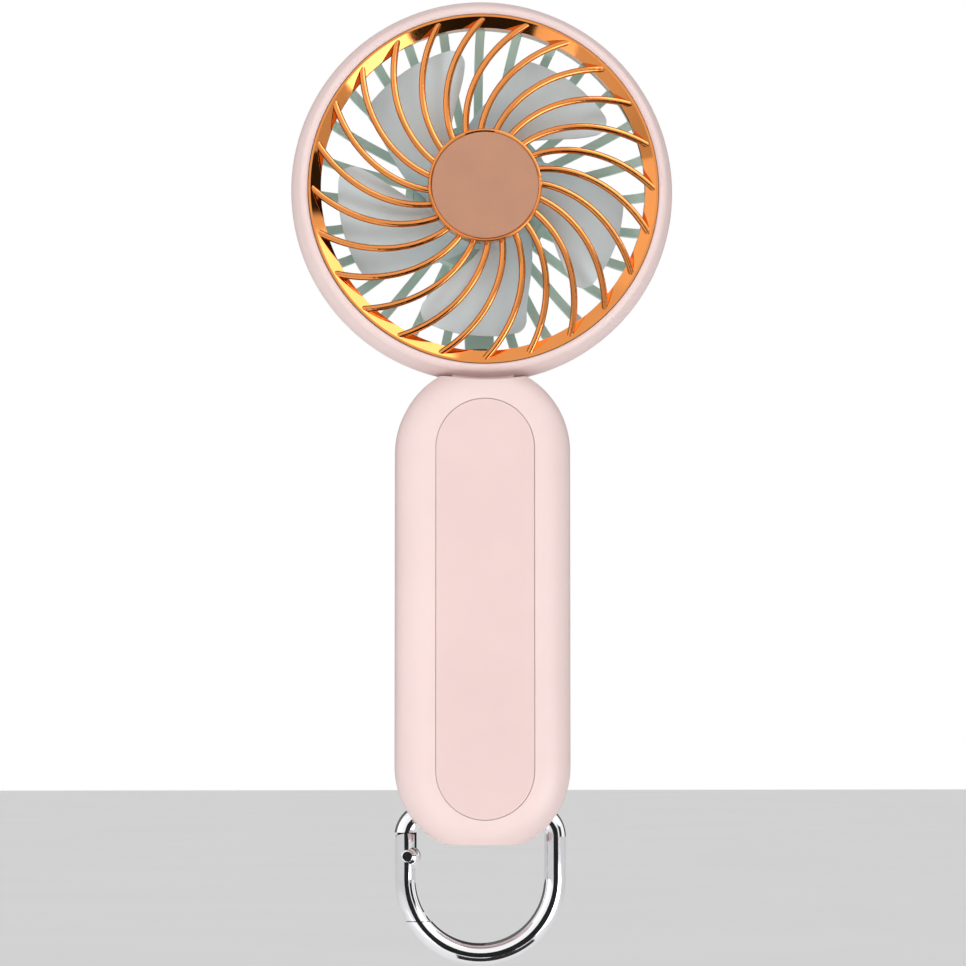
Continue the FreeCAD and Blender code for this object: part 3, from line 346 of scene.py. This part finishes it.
def bank(tree, bearing, rise, patch):
    """Soft-edged patch of the studio in degrees, 0 outside and 1 inside: from, to, below, above, edge."""
    left, right, low, high, edge = patch
    sides = []
    for value, start, end in ((bearing, left, right), (rise, low, high)):
        middle, half = (start + end) / 2, (end - start) / 2
        away = arithmetic(tree, "ABSOLUTE", arithmetic(tree, "SUBTRACT", value, middle))
        step = tree.nodes.new("ShaderNodeMapRange")
        step.interpolation_type = "SMOOTHSTEP"
        step.inputs["From Min"].default_value = half + edge
        step.inputs["From Max"].default_value = half
        tree.links.new(away, step.inputs["Value"])
        sides.append(step.outputs["Result"])
    return arithmetic(tree, "MULTIPLY", *sides)


def mirrored_room(tree, direction, front):
    """Brightness that polished metal reflects: the room with the banks laid over it."""
    bearing = arithmetic(tree, "DEGREES", arithmetic(tree, "ARCTAN2", direction.outputs["X"], front))
    rise = arithmetic(tree, "DEGREES", arithmetic(tree, "ARCSINE", direction.outputs["Z"]))
    level = ROOM
    for *patch, bright in BANKS:
        mix = tree.nodes.new("ShaderNodeMix")
        feed(tree, mix.inputs["Factor"], bank(tree, bearing, rise, patch))
        feed(tree, mix.inputs["A"], level)
        feed(tree, mix.inputs["B"], bright)
        level = mix.outputs["Result"]
    return level


def soft_light(tree, front):
    """Brightness that lights the fan from all round."""
    depth = tree.nodes.new("ShaderNodeMapRange")
    depth.inputs["From Min"].default_value = -1
    tree.links.new(front, depth.inputs["Value"])
    return ramp(tree, depth.outputs["Result"], SOFT_LIGHT)


def choose(tree, ray, otherwise, chosen):
    """One shader for rays of a kind and another for the rest."""
    path = tree.nodes.new("ShaderNodeLightPath")
    mix = tree.nodes.new("ShaderNodeMixShader")
    tree.links.new(path.outputs[ray], mix.inputs["Fac"])
    tree.links.new(otherwise, mix.inputs[1])
    tree.links.new(chosen, mix.inputs[2])
    return mix.outputs["Shader"]


def world():
    """White studio: plain white where it is seen, soft light all round, and banks for the reflections."""
    scene = bpy.context.scene
    scene.view_settings.view_transform = "Standard"
    scene.world = bpy.data.worlds.new("studio")
    scene.world.use_nodes = True
    tree = scene.world.node_tree
    seen = tree.nodes["Background"]
    seen.inputs["Color"].default_value = (1, 1, 1, 1)

    place = tree.nodes.new("ShaderNodeTexCoord")
    direction = tree.nodes.new("ShaderNodeSeparateXYZ")
    tree.links.new(place.outputs["Generated"], direction.inputs["Vector"])
    front = arithmetic(tree, "MULTIPLY", direction.outputs["Y"], -1)

    mirrored = tree.nodes.new("ShaderNodeBackground")
    tree.links.new(mirrored_room(tree, direction, front), mirrored.inputs["Color"])
    soft = tree.nodes.new("ShaderNodeBackground")
    tree.links.new(soft_light(tree, front), soft.inputs["Color"])
    soft.inputs["Strength"].default_value = SOFT_STRENGTH

    unseen = choose(tree, "Is Glossy Ray", soft.outputs["Background"], mirrored.outputs["Background"])
    surface = choose(tree, "Is Camera Ray", unseen, seen.outputs["Background"])
    tree.links.new(surface, tree.nodes["World Output"].inputs["Surface"])


def lying(left, right, near, far, height):
    """Corners of a sheet that lies level."""
    return [(left, near, height), (right, near, height), (right, far, height), (left, far, height)]


def upright(left, right, depth, bottom, top):
    """Corners of a sheet that stands across the fan's front."""
    return [(left, depth, bottom), (right, depth, bottom), (right, depth, top), (left, depth, top)]


def sheet(name, corners, dark, light, scale, rough):
    """Flat sheet of the studio in a matt grey that varies a little."""
    mesh = bpy.data.meshes.new(name)
    mesh.from_pydata(corners, [], [(0, 1, 2, 3)])
    item = bpy.data.objects.new(name, mesh)
    bpy.context.collection.objects.link(item)
    material, tree, shader = new_material(name)
    stops = [(NOISE_LOW, dark), (NOISE_HIGH, light)]
    tree.links.new(ramp(tree, noise(tree, coordinates(tree), scale), stops), shader.inputs["Base Color"])
    settle(shader, {"Roughness": rough})
    mesh.materials.append(material)
    return item


def studio_floor():
    """Plain pale floor well below the hanging hook."""
    reach = FLOOR_REACH
    corners = lying(-reach, reach, -reach, reach, cad_low.z - FLOOR_DROP)
    sheet("floor", corners, 0.95, 0.97, 3, 0.7)


def flags():
    """Black cards that only polished metal sees: they draw the dark lines in the hook's wire."""
    foot, top = cad_low.z - FLAG_DROP, cad_low.z + FLAG_RISE
    cards = {
        "flag_front": upright(-0.09, 0.20, FLAG_FRONT, foot, top),
        "flag_below": lying(-0.05, 0.20, -0.03, -0.235, foot),
        "flag_small": lying(0.045, 0.12, -0.236, -0.299, foot),
    }
    for name, corners in cards.items():
        card = sheet(name, corners, 0.010, 0.016, 20, 0.9)
        card.visible_camera = False
        card.visible_diffuse = False
        card.visible_transmission = False
        card.visible_shadow = False


def camera():
    """Camera that looks at the fan's middle from its bearing, rise and distance."""
    data = bpy.data.cameras.new("camera")
    data.sensor_width = SENSOR_MM
    data.lens = LENS_MM
    data.clip_start = CLIP_START
    item = bpy.data.objects.new("camera", data)
    bpy.context.collection.objects.link(item)
    target = Vector((AIM_RIGHT, 0, cad_low.z + (cad_high.z - cad_low.z) * AIM_UP))
    bearing, rise = math.radians(CAMERA_BEARING), math.radians(CAMERA_RISE)
    back = Vector((math.sin(bearing) * math.cos(rise), -math.cos(bearing) * math.cos(rise), math.sin(rise)))
    item.location = target + back * CAMERA_DISTANCE
    item.rotation_euler = (-back).to_track_quat("-Z", "Y").to_euler()
    bpy.context.scene.camera = item


camera()
paint(material_set())
world()
studio_floor()
flags()
for lamp_name, lamp_look in LAMPS.items():
    softbox(lamp_name, *lamp_look)
